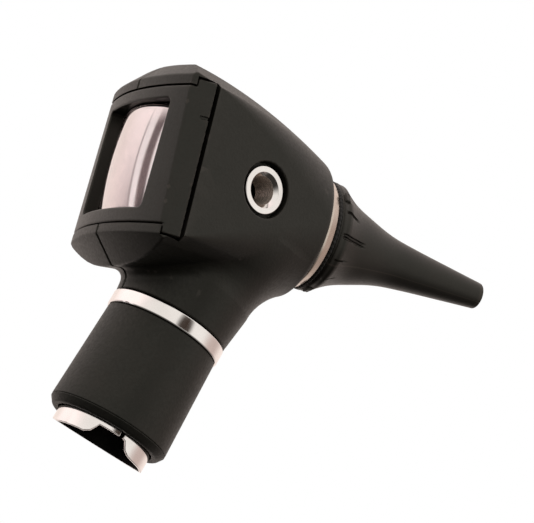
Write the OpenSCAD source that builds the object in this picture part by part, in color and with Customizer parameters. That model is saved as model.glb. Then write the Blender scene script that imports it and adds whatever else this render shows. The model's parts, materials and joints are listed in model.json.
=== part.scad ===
// Otoscope head on its illuminator base, in millimetres.
// +Z runs up the handle axis. The origin is on that axis, in the plane where the handle's rim
// meets the foot of the collar. The viewing axis points towards +X and is tilted upwards.

/* [Illuminator base] */
// Radius of the bore that takes the handle's nose
socket_r = 10.2; // [9.5:0.1:10.4]
// Length of bayonet ring below the handle seat
ring_drop = 3.6; // [3:0.1:4.5]
// Radius of the collar at its foot
collar_r = 13.5; // [13.3:0.1:14]
// Radius of the collar under the chrome band
collar_top_r = 12.75; // [12.6:0.05:13]
// Height of the collar above the seat
collar_top_z = 24.1; // [23:0.1:26]
// Height of the chrome band
band_h = 3.15; // [2.5:0.05:4]

/* [Head] */
// Angle of the viewing axis above the horizontal, in degrees
tilt = 15.7; // [14:0.1:17]
// Height of the front ring's centre above the seat
head_z = 61.7; // [61:0.1:63]
// Distance of the front ring's centre ahead of the handle axis
head_x = 16.6; // [16:0.1:18]
// Radius of the shell at its round front end
front_r = 15.1; // [14.8:0.1:15.6]
// Half the width of the shell behind the viewing window
rear_half_w = 21.9; // [21:0.1:23]
// Thickness of the shell
wall = 2; // [1.6:0.1:2.2]

/* [Lens slide] */
// Width of the window in the lens carrier
window_w = 30; // [26:0.5:31]
// Height of the window in the lens carrier
window_h = 23.6; // [20:0.2:24]
// Radius of the lens's bulging face
lens_r = 28; // [27.9:0.1:32]

/* [Insufflator port] */
// Radius of the port's bore
port_r = 3; // [2.5:0.1:3.1]

/* [Speculum] */
// Radius of the bore at the speculum's tip
tip_bore_r = 2.3; // [1.8:0.1:2.4]
// Number of ribs round the speculum's base
rib_count = 14; // [10:1:18]

/* [Hidden] */
$fn = 96;

far = 60;                    // longer than any part, for cutting
slip = 0.05;                 // radial clearance of a running fit
free = 0.3;                  // clearance between parts that only pass each other

// base
ring_r = socket_r + 1;
ring_top = 4.4;
rim_slant = 10;              // lean of the ring's lower rim, in degrees
foot_h = 1.7;
foot_inner_r = 12.3;
foot_round = 1.5;
tube_r = ring_r + slip;
tube_bore_r = 8.2;
tube_foot_z = 5.2;
band_z = collar_top_z + 0.05;
band_top_z = band_z + band_h;
band_top_r = collar_top_r + 0.35;
spigot_r = 10;
spigot_top = band_top_z + 6.5;
lamp_r = 3.5;
lens_seat_r = 5.15;

// head, in its own tilted frame: x along the viewing axis, z square to it, zero at the front ring
front_x = -1.5;              // front face of the shell
gap_x = -37.8;               // rear edge of the shell's side walls
cheek_top = 17.2;            // height at which the side walls turn into the roof
cheek_bottom = -14.8;
flare = 2.3;                 // how much further out the side walls are at their bottom
rear_x = -46.6;              // rearmost line of the lens carrier and guards
rear_r = 57.5;               // plan radius of the curved rear face
facet_x = -50;               // where the end facets are measured
facet_half_w = 16.1;
guard_top = 22.5;
guard_ridge = 18.3;
chin_ridge = -15.8;
chin_bottom = -20.8;
guard_slope = 4.1;           // how far the guard's sloping face leans forward
chin_slope = 4.9;
side_lean = atan(flare / (cheek_top - cheek_bottom));
rear_side = rear_half_w * cos(side_lean) + cheek_top * sin(side_lean);
side_taper = atan((rear_side - front_r) / (front_x - gap_x));

// lens slide
carrier_x = -38.6;           // front face of the carrier
carrier_top = 15.9;
carrier_bottom = -13.6;
tongue_x = -41;
tongue_top = 17.4;
tongue_bottom = -15.1;
window_z = 1.4;
pocket_x = -41.8;            // floor of the pocket that holds the lens
pocket_rim = 1.1;            // how far the pocket stands out beyond the window
stop_y = -19.6;              // inner face of the end stop
stop_x = -42.2;
pad_x = -40.2;               // studs that rub on the carrier from below
pad_y = 9;
pad_r = 1.2;
pad_low = -17.8;
opening_half_w = 16.5;       // opening in the wall behind the lens
opening_half_h = 12.5;
seat_x = -3.42;              // step in the shell that the bulkhead rests on
seat_r = front_r - 2.7;

// neck
neck_z = band_top_z + free;
neck_r = 12.95;
neck_top_z = 36;
neck_top_r = 14;
neck_bore_r = 11.05;
neck_bore_top = 34.5;
ferrule_r = 2.6;
ferrule_top = 42.5;
pin_r = 0.55;                // pin that keeps the head square on its base
pin_at = 12;

// port, in its own frame: z out of the side wall, zero at the wall's surface
port_x = -20.5;
port_z = 1.2;
port_y = -(front_r + (front_x - port_x) * tan(side_taper) - port_z * sin(side_lean)) / cos(side_lean);
port_sunk = 0.6;
port_flange_r = 5.05;
port_tube_r = 4;
port_recess_r = 5.95;
port_recess_z = -2.4;
port_boss_z = -4.6;
port_boss_r = 7.2;
port_end_z = -9;

// nose and speculum
nose_end_x = 24;
hub_r = 8.2;
skirt_r = 9.6;
speculum_x = 2;
speculum_end_x = 46.2;
rib_w = 0.5;
guide_z = -8;                // the light guide runs this far below the viewing axis
guide_r = 1.9;
guide_bend = 10;
guide_end_x = -1.25;

// screws and dowels through the seam: x and z in the head frame
seam_gap = 0.02;
screw_places = [[-32.5, 14.8], [-31.5, -12.6], [-10, 10]];
screw_r = 0.9;
screw_head_r = 1.9;
screw_head_y = 7;
screw_end_y = -6;
boss_r = 2.6;
dowel_places = [[-41.5, 20.1], [-39.5, -18.2]];
dowel_r = 0.8;

module head_frame() {
    translate([head_x, 0, head_z]) rotate([0, -tilt, 0]) children();
}

module port_frame() {
    head_frame() translate([port_x, port_y, port_z]) rotate([-side_lean, 0, 0])
        rotate([0, 0, side_taper]) rotate([90, 0, 0]) children();
}

// turns an outline of [radius, x] points about the viewing axis
module turned(points) {
    head_frame() rotate([0, 90, 0]) rotate_extrude() polygon(points);
}

// turns an outline of [radius, z] points about the handle axis
module turned_up(points) {
    rotate_extrude() polygon(points);
}

module tube(inner_r, outer_r, low, high) {
    translate([0, 0, low]) difference() {
        cylinder(r = outer_r, h = high - low);
        translate([0, 0, -1]) cylinder(r = inner_r, h = high - low + 2);
    }
}

// a plate square to the viewing axis, drawn as [y, z] points
module cross_plate(x, points) {
    translate([x, 0, 0]) rotate([90, 0, 90]) linear_extrude(0.1) polygon(points);
}

// the same outline on both sides of the seam, from points with y above zero, bottom to top
function mirrored(points) = concat(points, [for (i = [len(points) - 1:-1:0]) [-points[i][0], points[i][1]]]);

// a block in the head frame between two corners
module block(low, high) {
    translate(low) cube(high - low);
}

// an upright-cornered rectangular bar along the viewing axis, centred on the window
module window_bar(half_w, half_h, x0, x1, corner) {
    translate([x0, 0, window_z]) rotate([90, 0, 90]) linear_extrude(x1 - x0) union() {
        square([2 * half_w - 2 * corner, 2 * half_h], center = true);
        square([2 * half_w, 2 * half_h - 2 * corner], center = true);
        for (sy = [-1, 1], sz = [-1, 1])
            translate([sy * (half_w - corner), sz * (half_h - corner)]) circle(corner, $fn = 48);
    }
}

// ---- illuminator base ----

module ring_cutout() {
    // an arched opening in the lower rim, with a stepped thin strip and a slit at one side
    rotate([0, 0, -103]) {
        rotate([0, 0, -17]) rotate_extrude(angle = 34) translate([socket_r - 1, -ring_drop - 1])
            square([4, 3.6]);
        for (side = [-1, 1]) rotate([0, 0, side * 16]) translate([0, 0, -ring_drop - 0.4])
            rotate([0, 90, 0]) cylinder(r = 1.75, h = far);
        rotate([0, 0, 9]) rotate_extrude(angle = 5) translate([socket_r - 1, -ring_drop - 1])
            square([4, ring_drop + 2.2]);
    }
}

module bayonet_ring() {
    color("gainsboro") difference() {
        tube(socket_r, ring_r, -ring_drop, ring_top);
        ring_cutout();
        // the far side of the lower rim is cut on a slant
        rotate([0, 0, 80]) translate([0, 0, 0.5 - ring_drop]) rotate([0, -rim_slant, 0])
            translate([-far, -far, -far]) cube([2 * far, 2 * far, far]);
    }
}

module collar_foot() {
    // end ring with a rounded outer edge
    round_steps = 8;
    color([0.13, 0.12, 0.11]) turned_up(concat(
        [[foot_inner_r, foot_h], [foot_inner_r, 0]],
        [for (i = [0:round_steps]) let (a = 90 * i / round_steps)
            [collar_r - foot_round + foot_round * sin(a), foot_round - foot_round * cos(a)]],
        [[collar_r, foot_h]]
    ));
}

module collar() {
    // long grip sleeve, tapering slightly upwards, with a recess over the bayonet ring
    recess_top = 2.2;
    color([0.13, 0.12, 0.11]) turned_up([
        [foot_inner_r, foot_h], [collar_r, foot_h], [collar_top_r, collar_top_z],
        [tube_r + slip, collar_top_z], [tube_r + slip, recess_top], [foot_inner_r, recess_top]
    ]);
}

module chrome_band() {
    color("gainsboro") turned_up([
        [tube_r + slip, band_z], [collar_top_r, band_z], [band_top_r, band_z + 0.3],
        [band_top_r, band_top_z], [tube_r + slip, band_top_z]
    ]);
}

module illuminator_tube() {
    // metal core of the base: carries the lamp, and its spigot takes the head
    groove_z = spigot_top - 3;
    color("silver") difference() {
        turned_up([
            [tube_bore_r, tube_foot_z], [tube_r, tube_foot_z], [tube_r, band_top_z], [spigot_r, band_top_z],
            [spigot_r, spigot_top], [lens_seat_r, spigot_top], [lens_seat_r, spigot_top - 2.1],
            [lens_seat_r - 0.6, spigot_top - 2.1], [lens_seat_r - 0.6, spigot_top - 3],
            [tube_bore_r, spigot_top - 3]
        ]);
        tube(spigot_r - 0.85, spigot_r + 1, groove_z - 0.45, groove_z + 0.45);
    }
}

module lamp_socket() {
    // insulator that centres the lamp in the metal tube
    color("ivory") difference() {
        translate([0, 0, tube_foot_z + 0.2]) cylinder(r = tube_bore_r - slip, h = 6.6);
        translate([0, 0, tube_foot_z + 2]) cylinder(r = lamp_r + slip, h = 6);
        translate([0, 0, tube_foot_z - 1]) cylinder(r = 1.3, h = 5);
    }
}

module lamp_contact() {
    color("goldenrod") translate([0, 0, tube_foot_z + 0.4]) {
        cylinder(r = 1.2, h = 1.65);
        cylinder(r1 = 0.8, r2 = 1.2, h = 0.4);
    }
}

module lamp_can() {
    color("silver") {
        translate([0, 0, tube_foot_z + 2.1]) cylinder(r = lamp_r, h = 15);
        translate([0, 0, tube_foot_z + 9.6]) cylinder(r = 4.5, h = 1);
    }
}

module lamp_bulb() {
    color([0.9, 0.95, 1, 0.5]) translate([0, 0, tube_foot_z + 17.15]) {
        cylinder(r = 2.7, h = 3.2);
        translate([0, 0, 3.2]) intersection() {
            sphere(2.7);
            cylinder(r = 3, h = 3);
        }
    }
}

// skins rings of points, each a list of the same length, into a closed tube
module skinned(rings) {
    sides = len(rings[0]);
    last = len(rings) - 1;
    walls = [for (i = [0:last - 1], j = [0:sides - 1])
        [i * sides + j, i * sides + (j + 1) % sides, (i + 1) * sides + (j + 1) % sides, (i + 1) * sides + j]];
    polyhedron(
        [for (ring = rings, point = ring) point],
        concat(walls, [[for (j = [sides - 1:-1:0]) j]], [[for (j = [0:sides - 1]) last * sides + j]])
    );
}

// coil of round wire climbing from low to high
module coil(coil_r, wire_r, low, high, turns) {
    steps = 14;
    count = turns * steps;
    climb = high - low - 2 * wire_r;
    skinned([for (i = [0:count]) [for (b = [0:45:315])
        let (a = 360 * i / steps, r = coil_r + wire_r * cos(b))
        [r * cos(a), r * sin(a), low + wire_r + climb * i / count + wire_r * sin(b)]]]);
}

module lamp_spring() {
    color("silver") coil(4.15, 0.3, tube_foot_z + 6.85, tube_foot_z + 9.55, 3);
}

module lamp_heat_sink() {
    color("gray") tube(lamp_r + 0.1, tube_bore_r - slip, tube_foot_z + 10.8, tube_foot_z + 17);
}

module condenser_lens() {
    color([0.85, 0.93, 1, 0.5]) intersection() {
        translate([0, 0, spigot_top - 2.05]) cylinder(r = lens_seat_r - slip, h = 3);
        translate([0, 0, spigot_top - 0.3 - 12]) sphere(12);
    }
}

module spigot_ring() {
    // split spring ring that grips the head's sleeve
    color("silver") translate([0, 0, spigot_top - 3]) rotate([0, 0, 12]) rotate_extrude(angle = 336)
        translate([spigot_r - 0.4, 0]) circle(0.4, $fn = 24);
}

module index_pin() {
    color("silver") translate([pin_at, 0, band_top_z]) cylinder(r = pin_r, h = 1.8, $fn = 32);
}

// ---- head shells ----

// the shell's tapering outside, before its rear is rounded
module taper_body() {
    hull() {
        translate([front_x - 1, 0, 0]) rotate([0, 90, 0]) cylinder(r = front_r, h = 1, $fn = 64);
        cross_plate(-20, mirrored([[3, 10], [9, 19.4], [0.4, 20]]));
        cross_plate(gap_x, mirrored([
            [4, -20.7], [7.5, -20], [12.6, -19.1], [20, -16.9], [rear_half_w + flare, cheek_bottom],
            [rear_half_w, cheek_top], [13.6, 21.4], [0.4, 22]
        ]));
        cross_plate(facet_x, mirrored([
            [4, -21], [11, -20.2], [facet_half_w + flare, -17.5], [facet_half_w, 19], [14.4, 22.3], [0.4, 23]
        ]));
    }
}

// curved rear face with the sloping faces above and below it
module rear_rounding() {
    translate([rear_x + rear_r, 0, 0]) {
        translate([0, 0, chin_ridge]) cylinder(r = rear_r, h = guard_ridge - chin_ridge, $fn = 180);
        translate([0, 0, guard_ridge])
            cylinder(r1 = rear_r, r2 = rear_r - guard_slope, h = guard_top - guard_ridge, $fn = 180);
        translate([0, 0, chin_bottom])
            cylinder(r1 = rear_r - chin_slope, r2 = rear_r, h = chin_ridge - chin_bottom, $fn = 180);
    }
}

// straight neck, and the web that carries the front of the head on it
module neck_outside() {
    translate([0, 0, neck_z]) cylinder(r1 = neck_r, r2 = neck_top_r, h = neck_top_z - neck_z);
    hull() {
        translate([0, 0, neck_top_z - 2]) cylinder(r = neck_top_r - 0.25, h = 2, $fn = 64);
        head_frame() translate([front_x - 4, 0, 0]) rotate([0, 90, 0])
            cylinder(r = front_r - 0.2, h = 3.9, $fn = 64);
        translate([0, 0, 44]) cylinder(r = 12, h = 1, $fn = 32);
    }
}

// room inside the shell, from the window's wall to the bulkhead
module chamber() {
    hull() {
        translate([seat_x - 1.18, 0, 0]) rotate([0, 90, 0]) cylinder(r = front_r - 3.5, h = 1.2, $fn = 64);
        cross_plate(gap_x + 2.2, mirrored([
            [10, -17], [rear_half_w + flare - wall, -12.4], [rear_half_w - wall, 15], [11, 19.2]
        ]));
    }
}

// everything that the lens carrier passes through when it slides
module slide_channel() {
    block([-far, -far, carrier_bottom - free], [gap_x, far, carrier_top + free]);
    block([tongue_x - free, -far, tongue_bottom - free], [gap_x, far, tongue_top + free]);
    block([stop_x - free, -far, tongue_bottom - 0.8], [gap_x, stop_y + free, tongue_top + 0.6]);
}

module screw_line(place, radius, y0, y1) {
    translate([place[0], y1, place[1]]) rotate([90, 0, 0]) cylinder(r = radius, h = y1 - y0, $fn = 32);
}

module shell_body() {
    difference() {
        union() {
            head_frame() intersection() {
                taper_body();
                rear_rounding();
            }
            neck_outside();
        }
        head_frame() {
            difference() {
                chamber();
                for (place = screw_places) screw_line(place, boss_r, -far, far);
            }
            window_bar(opening_half_w, opening_half_h, gap_x - 1, gap_x + 3, 3);
            slide_channel();
            translate([seat_x, 0, 0]) rotate([0, 90, 0]) cylinder(r = seat_r, h = 9);
            pads(pad_r + slip, pad_low - 0.2);
        }
        translate([0, 0, neck_z - 1]) cylinder(r = neck_bore_r, h = neck_bore_top - neck_z + 1);
        cylinder(r = ferrule_r + slip, h = 46);
        translate([pin_at, 0, neck_z - 1]) cylinder(r = pin_r + 0.1, h = 3, $fn = 32);
        dowels(dowel_r + 0.02, 0.05);
    }
}

module dowels(radius, extra) {
    head_frame() for (place = dowel_places) screw_line(place, radius, -3 - extra, 3 + extra);
}

module pads(radius, low) {
    for (side = [-1, 1]) translate([pad_x, side * pad_y, low])
        cylinder(r = radius, h = tongue_bottom - slip - low, $fn = 32);
}

module left_shell() {
    color([0.13, 0.12, 0.11]) difference() {
        shell_body();
        translate([-far * 2, seam_gap - far * 2, -far]) cube([far * 4, far * 2, far * 4]);
        head_frame() for (place = screw_places) {
            screw_line(place, screw_r + 0.25, -1, far);
            screw_line(place, screw_head_r + 0.15, screw_head_y, far);
        }
    }
}

module right_shell() {
    color([0.13, 0.12, 0.11]) difference() {
        union() {
            difference() {
                shell_body();
                translate([-far * 2, -seam_gap, -far]) cube([far * 4, far * 2, far * 4]);
            }
            port_frame() translate([0, 0, port_boss_z]) cylinder(r = port_boss_r, h = 4);
        }
        port_frame() {
            translate([0, 0, port_recess_z]) cylinder(r = port_recess_r, h = 6);
            translate([0, 0, -12]) cylinder(r = port_tube_r + slip, h = 12);
        }
        head_frame() for (place = screw_places) screw_line(place, screw_r + slip, screw_end_y - 0.2, 1);
    }
}

module shell_screws() {
    color("silver") head_frame() for (place = screw_places) difference() {
        union() {
            screw_line(place, screw_r, screw_end_y, screw_head_y + 0.5);
            screw_line(place, screw_head_r, screw_head_y + 0.02, screw_head_y + 1.5);
        }
        screw_line(place, 0.6, screw_head_y + 0.6, screw_head_y + 3);
    }
}

module shell_dowels() {
    color("silver") dowels(dowel_r, 0);
}

module neck_sleeve() {
    // metal lining of the neck that slides over the base's spigot
    color("silver") tube(spigot_r + slip, neck_bore_r - slip, neck_z + 0.2, neck_bore_top - 0.05);
}

// ---- light path ----

module light_ferrule() {
    color("silver") tube(guide_r + slip, ferrule_r, neck_bore_top + 0.1, ferrule_top);
}

module light_guide() {
    // bundle of glass fibres: up from the lamp, then round a bend and along the viewing axis
    bend = 90 - tilt;
    end_x = head_x + guide_end_x * cos(tilt) - guide_z * sin(tilt);
    end_z = head_z + guide_end_x * sin(tilt) + guide_z * cos(tilt);
    straight = (end_x - guide_bend * (1 - cos(bend))) / cos(tilt);
    bend_z = end_z - guide_bend * sin(bend) - straight * sin(tilt);
    bend_steps = 8;
    low_z = neck_bore_top + 0.3;
    // each station is an x, a z and the lean of the fibres from upright
    stations = concat(
        [[0, low_z, 0]],
        [for (i = [0:bend_steps]) let (a = bend * i / bend_steps)
            [guide_bend * (1 - cos(a)), bend_z + guide_bend * sin(a), a]],
        [[end_x, end_z, bend]]
    );
    color("khaki") skinned([for (s = stations) [for (b = [0:22.5:337.5])
        [s[0] + guide_r * cos(b) * cos(s[2]), guide_r * sin(b), s[1] - guide_r * cos(b) * sin(s[2])]]]);
}

module bulkhead() {
    // plate that closes the front of the chamber and carries the nose
    color("dimgray") difference() {
        turned([
            [5.6, -3.4], [front_r - 2.75, -3.4], [front_r - 2.75, front_x], [10.9, front_x],
            [10.9, -1.25], [5.6, -1.25]
        ]);
        head_frame() translate([-6, 0, guide_z]) rotate([0, 90, 0])
            cylinder(r = guide_r + slip, h = 6, $fn = 48);
    }
}

module front_ring() {
    color("gainsboro") turned([
        [10.95, front_x + 0.05], [13.7, front_x + 0.05], [13.6, 0], [13.2, 0.9], [12.8, 1.1], [10.95, 1.1]
    ]);
}

module nose_cone() {
    // hollow metal cone that the speculum is pushed over
    color("silver") turned([
        [9.95, -1.2], [10.9, -1.2], [10.9, 0.9], [hub_r, 0.9], [hub_r, 3.65], [7.8, 3.65], [3.7, nose_end_x],
        [3.3, nose_end_x], [7.25, 4.2], [7.25, 0.3], [9.95, 0.3]
    ]);
}

module fibre_cone() {
    // glass fibres fanned out into a ring round the line of sight
    color("khaki") turned([
        [5.62, -1.2], [9.9, -1.2], [9.9, 0.25], [7.2, 0.25], [7.2, 4.15], [3.25, nose_end_x],
        [2.87, nose_end_x]
    ]);
}

module view_tube() {
    color("dimgray") turned([
        [5, -3.6], [5.55, -3.6], [5.55, -1.2], [2.8, nose_end_x], [2.4, nose_end_x], [5, -1.2]
    ]);
}

module speculum_retainer() {
    // open spring clip that keeps the lock ring on the nose
    color("silver") head_frame() rotate([0, 90, 0]) translate([0, 0, 3.25 + slip])
        rotate([0, 0, 20]) rotate_extrude(angle = 320) translate([hub_r + 0.02, 0]) square([1, 0.32]);
}

// ---- insufflator port ----

module port_nipple() {
    color("gainsboro") port_frame() rotate_extrude() polygon([
        [port_r, port_end_z], [port_tube_r, port_end_z], [port_tube_r, port_recess_z + 0.4],
        [port_flange_r, port_recess_z + 0.4], [port_flange_r, -port_sunk - 0.15],
        [port_flange_r - 0.15, -port_sunk], [port_r + 0.8, -port_sunk], [port_r, -port_sunk - 0.85]
    ]);
}

module port_gasket() {
    color([0.1, 0.1, 0.1]) port_frame()
        tube(port_tube_r + slip, port_flange_r + 0.1, port_recess_z, port_recess_z + 0.38);
}

module port_nut() {
    color("silver") port_frame() translate([0, 0, port_boss_z - 2.3]) difference() {
        cylinder(r = 6, h = 2.25, $fn = 6);
        translate([0, 0, -1]) cylinder(r = port_tube_r + slip, h = 5);
    }
}

// ---- lens slide ----

module window_gasket() {
    color([0.1, 0.1, 0.1]) head_frame() difference() {
        window_bar(opening_half_w + 1.7, opening_half_h + 1.5, carrier_x + 0.1, gap_x, 3.5);
        window_bar(opening_half_w + 0.1, opening_half_h + 0.1, carrier_x - 1, gap_x + 1, 3);
    }
}

module slide_pads() {
    // nylon studs that give the slide its drag
    color("ivory") head_frame() pads(pad_r, pad_low);
}

// thin slice of the carrier's outline, seen from above
module carrier_plan(level, wider) {
    end_w = rear_half_w + 0.1 + wider;
    facet_w = facet_half_w + wider;
    translate([0, 0, level]) linear_extrude(0.1) polygon([
        [carrier_x, -end_w], [carrier_x, end_w], [facet_x, facet_w], [facet_x, -facet_w]
    ]);
}

module lens_carrier() {
    half_w = window_w / 2;
    half_h = window_h / 2;
    color([0.15, 0.14, 0.13]) head_frame() difference() {
        intersection() {
            union() {
                translate([rear_x + rear_r, 0, carrier_bottom])
                    cylinder(r = rear_r, h = carrier_top - carrier_bottom, $fn = 180);
                block([tongue_x, -far, tongue_bottom], [0, far, tongue_top]);
                block([stop_x, -far, tongue_bottom - 0.4], [0, stop_y, tongue_top + 0.2]);
            }
            hull() {
                carrier_plan(cheek_top + 1, 0);
                carrier_plan(cheek_bottom - 1, flare);
            }
        }
        window_bar(half_w, half_h, -far, 0, 1.2);
        window_bar(half_w + pocket_rim, half_h + pocket_rim, pocket_x, 0, 3);
    }
}

module lens() {
    half_w = window_w / 2 - 0.2;
    half_h = window_h / 2 - 0.2;
    rim = pocket_rim;
    color([0.85, 0.9, 0.95, 0.45]) head_frame() {
        window_bar(half_w + rim, half_h + rim, pocket_x + 0.02, pocket_x + 1.3, 3);
        intersection() {
            translate([-46 + lens_r, 0, window_z - far / 2]) cylinder(r = lens_r, h = far, $fn = 120);
            window_bar(half_w, half_h, -far, pocket_x + 1, 1.2);
        }
    }
}

module lens_retainer() {
    half_w = window_w / 2 - 0.2;
    half_h = window_h / 2 - 0.2;
    color("dimgray") head_frame() difference() {
        window_bar(half_w + pocket_rim, half_h + pocket_rim, pocket_x + 1.35, carrier_x - 0.1, 3);
        window_bar(half_w - 0.6, half_h - 0.6, -far, 0, 2);
    }
}

// ---- speculum and its lock ----

module lock_ring() {
    // turns on the nose's hub and carries the speculum
    color([0.2, 0.2, 0.2]) turned([
        [hub_r + slip, 1.2], [11, 1.2], [11, 1.85], [skirt_r, 1.85], [skirt_r, 3.2], [hub_r + slip, 3.2]
    ]);
}

module grip_ring() {
    color([0.08, 0.08, 0.08]) turned([
        [11.02, 1.2], [12.2, 1.2], [12.55, 1.5], [12.5, 1.85], [11.02, 1.85]
    ]);
}

module speculum() {
    color([0.14, 0.13, 0.12]) union() {
        turned([
            [skirt_r + slip, speculum_x], [12.2, speculum_x], [12.45, 2.3], [12.45, 3.1], [12.2, 4.3],
            [11.6, 5.3], [10.4, 7], [9, 10], [7.7, 14], [6.4, 18], [5.6, 21.6], [5.05, 26], [4.6, 30],
            [4.1, 35], [3.5, 41], [3.05, speculum_end_x - 0.4], [2.8, speculum_end_x],
            [tip_bore_r, speculum_end_x], [tip_bore_r, speculum_end_x - 4.2], [3.75, 30], [4.2, 26],
            [4.75, 21.6], [5.55, 18], [6.8, 14], [8, 10], [9.4, 7], [skirt_r + slip, 5.6]
        ]);
        head_frame() for (i = [0:rib_count - 1]) rotate([360 * i / rib_count + 3, 0, 0])
            translate([0, 0, -rib_w / 2]) linear_extrude(rib_w)
                polygon([[3, 11], [3, 12.4], [4.3, 12.4], [7.4, 10.5], [7.4, 9.8]]);
        head_frame() for (i = [0:2]) rotate([120 * i + 20, 0, 0])
            translate([2.6, 11.8, -1.2]) cube([1.4, 1.2, 2.4]);
    }
}

bayonet_ring();
collar_foot();
collar();
chrome_band();
illuminator_tube();
lamp_socket();
lamp_contact();
lamp_can();
lamp_bulb();
lamp_spring();
lamp_heat_sink();
condenser_lens();
spigot_ring();
index_pin();
left_shell();
right_shell();
shell_screws();
shell_dowels();
neck_sleeve();
light_ferrule();
light_guide();
bulkhead();
front_ring();
nose_cone();
fibre_cone();
view_tube();
speculum_retainer();
port_nipple();
port_gasket();
port_nut();
window_gasket();
slide_pads();
lens_carrier();
lens();
lens_retainer();
lock_ring();
grip_ring();
speculum();
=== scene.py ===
"""Looks of the otoscope head, built round its CAD frame."""

import json
import math
from concurrent.futures import ThreadPoolExecutor

import bpy
import numpy as np
from mathutils import Matrix, Vector


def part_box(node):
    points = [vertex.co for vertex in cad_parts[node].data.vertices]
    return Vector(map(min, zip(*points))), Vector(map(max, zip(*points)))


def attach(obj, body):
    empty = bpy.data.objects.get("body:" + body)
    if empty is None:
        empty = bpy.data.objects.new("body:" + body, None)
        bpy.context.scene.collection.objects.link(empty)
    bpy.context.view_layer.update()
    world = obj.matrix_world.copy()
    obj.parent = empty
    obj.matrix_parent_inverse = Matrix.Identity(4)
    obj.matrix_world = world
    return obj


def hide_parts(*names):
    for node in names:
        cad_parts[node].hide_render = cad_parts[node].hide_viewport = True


MM = 0.001

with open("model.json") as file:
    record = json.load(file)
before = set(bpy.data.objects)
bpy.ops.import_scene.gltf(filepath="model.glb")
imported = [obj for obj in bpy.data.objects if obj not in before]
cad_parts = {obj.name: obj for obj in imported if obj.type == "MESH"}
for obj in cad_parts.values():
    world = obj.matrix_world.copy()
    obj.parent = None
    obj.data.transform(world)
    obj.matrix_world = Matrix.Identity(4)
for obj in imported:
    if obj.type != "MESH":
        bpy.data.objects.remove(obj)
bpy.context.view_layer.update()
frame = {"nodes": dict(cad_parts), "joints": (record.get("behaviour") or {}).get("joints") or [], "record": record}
joints = {joint["name"]: joint for joint in frame["joints"]}
mounts = {mount["name"]: mount for mount in frame["record"]["mounts"]}


# ---------------------------------------------------------------- places, in millimetres

VIEW_AXIS = np.array(joints["speculum_pull"]["axis"], float)
VIEW_AXIS /= np.linalg.norm(VIEW_AXIS)
SIDE_AXIS = np.array([0.0, 1.0, 0.0])
UP_AXIS = np.cross(VIEW_AXIS, SIDE_AXIS)
HEAD = np.array(joints["speculum_turn"]["pos_m"], float) / MM
PORT = np.array(mounts["insufflator_port"]["pos_m"], float) / MM
PORT_AXIS = np.array(mounts["insufflator_port"]["axis"], float)
PORT_R = mounts["insufflator_port"]["dims"]["r_mm"]
SOCKET_R = mounts["handle_socket"]["dims"]["r_mm"]
TIP_R = mounts["speculum_tip"]["dims"]["r_mm"]


def size(node):
    """Lowest and highest corner of a CAD node, in millimetres."""
    low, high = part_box(node)
    return np.array(low) / MM, np.array(high) / MM


# base, along the handle axis
RING_LOW, RING_HIGH = size("bayonet_ring")[0][2], size("bayonet_ring")[1][2]
RING_R = size("bayonet_ring")[1][0]
FOOT_R = size("collar_foot")[1][0]
FOOT_TOP = size("collar_foot")[1][2]
RIM_R = SOCKET_R + 0.55
FOOT_INNER_R = RIM_R + 0.35
COLLAR_TOP = size("collar")[1][2]
BAND_LOW, BAND_HIGH = size("chrome_band")[0][2], size("chrome_band")[1][2]
BAND_R = size("chrome_band")[1][0]
COLLAR_TOP_R = BAND_R - 0.35
CORE_R = RING_R + 0.1
NECK_LOW = BAND_HIGH + 0.3

# head, along the viewing axis from the middle of the front ring
FRONT_X, GAP_X = -1.5, -37.7
FRONT_R, HALF_W, WALL = 15.1, 21.9, 2.0
REAR_X, REAR_R = -46.6, 68.0
GUARD_RIDGE, CHIN_RIDGE = 18.3, -15.8
GUARD_SLOPE, CHIN_SLOPE = 4.1 / 4.2, 4.9 / 5.0
SHOULDER_Y, SHOULDER_Z, ROOF_Z = 13.6, 21.65, 22.5
CHEEK_TOP, CHEEK_LOW, FLARE = 17.2, -14.8, 2.3  # the side walls stand further out at their foot
FLOOR_Z, FLOOR_RISE = -20.75, 5.95  # the floor under the rear, which rises towards the cheeks
FACET = (-38.6, 22.2, 5.2, 2.1)  # a point of the end facet, and its direction
TAPER, ROOF_BULGE = 0.976, 1.4  # cosine of the side walls' slope, and how far the roof bulges
SEAM_GAP, SEAM_GROOVE = 0.14, 0.45
SEAT_X, SEAT_R = -3.42, FRONT_R - 2.7
ROOM_FRONT_X, ROOM_REAR_X = -3.4, GAP_X + 2.2
OPENING_HALF_W, OPENING_HALF_H = 16.5, 12.5

# neck of the head, along the handle axis
NECK_R, NECK_SPREAD, NECK_SPREAD_OVER, NECK_TOP = 12.95, 1.05, 8.4, 46
WEB_BEHIND, WEB_IN_FRONT = 2.6, 4.4
SLEEVE_WAY_R, SLEEVE_WAY_TOP = 11.05, 34.5
FERRULE_WAY_R = 2.65

# lens carrier and its slide
CARRIER_X, CARRIER_LOW, CARRIER_HIGH = -38.6, -13.6, 15.9
TONGUE_X, TONGUE_LOW, TONGUE_HIGH = -41.0, -15.1, 17.4
STOP_X, STOP_Y = -42.2, -19.6
WINDOW_Z, WINDOW_W, WINDOW_H = 1.4, 30.0, 23.6
POCKET_X, POCKET_RIM = -41.8, 1.1
MARK_LOW, MARK_HIGH, MARK_LENGTH, MARK_DEPTH = 9.5, 10.1, 1.7, 0.4
FREE, ENDS_IN = 0.3, 0.15  # free space round the carrier, and how far its ends stand behind the walls

# magnifying lens: radius across, radius up and down, and the height of its face
LENS_R, LENS_TALL_R, LENS_TOP = 28.0, 75.0, -46.0
LENS_REACH = 20.0  # half the width over which the face curves

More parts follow.
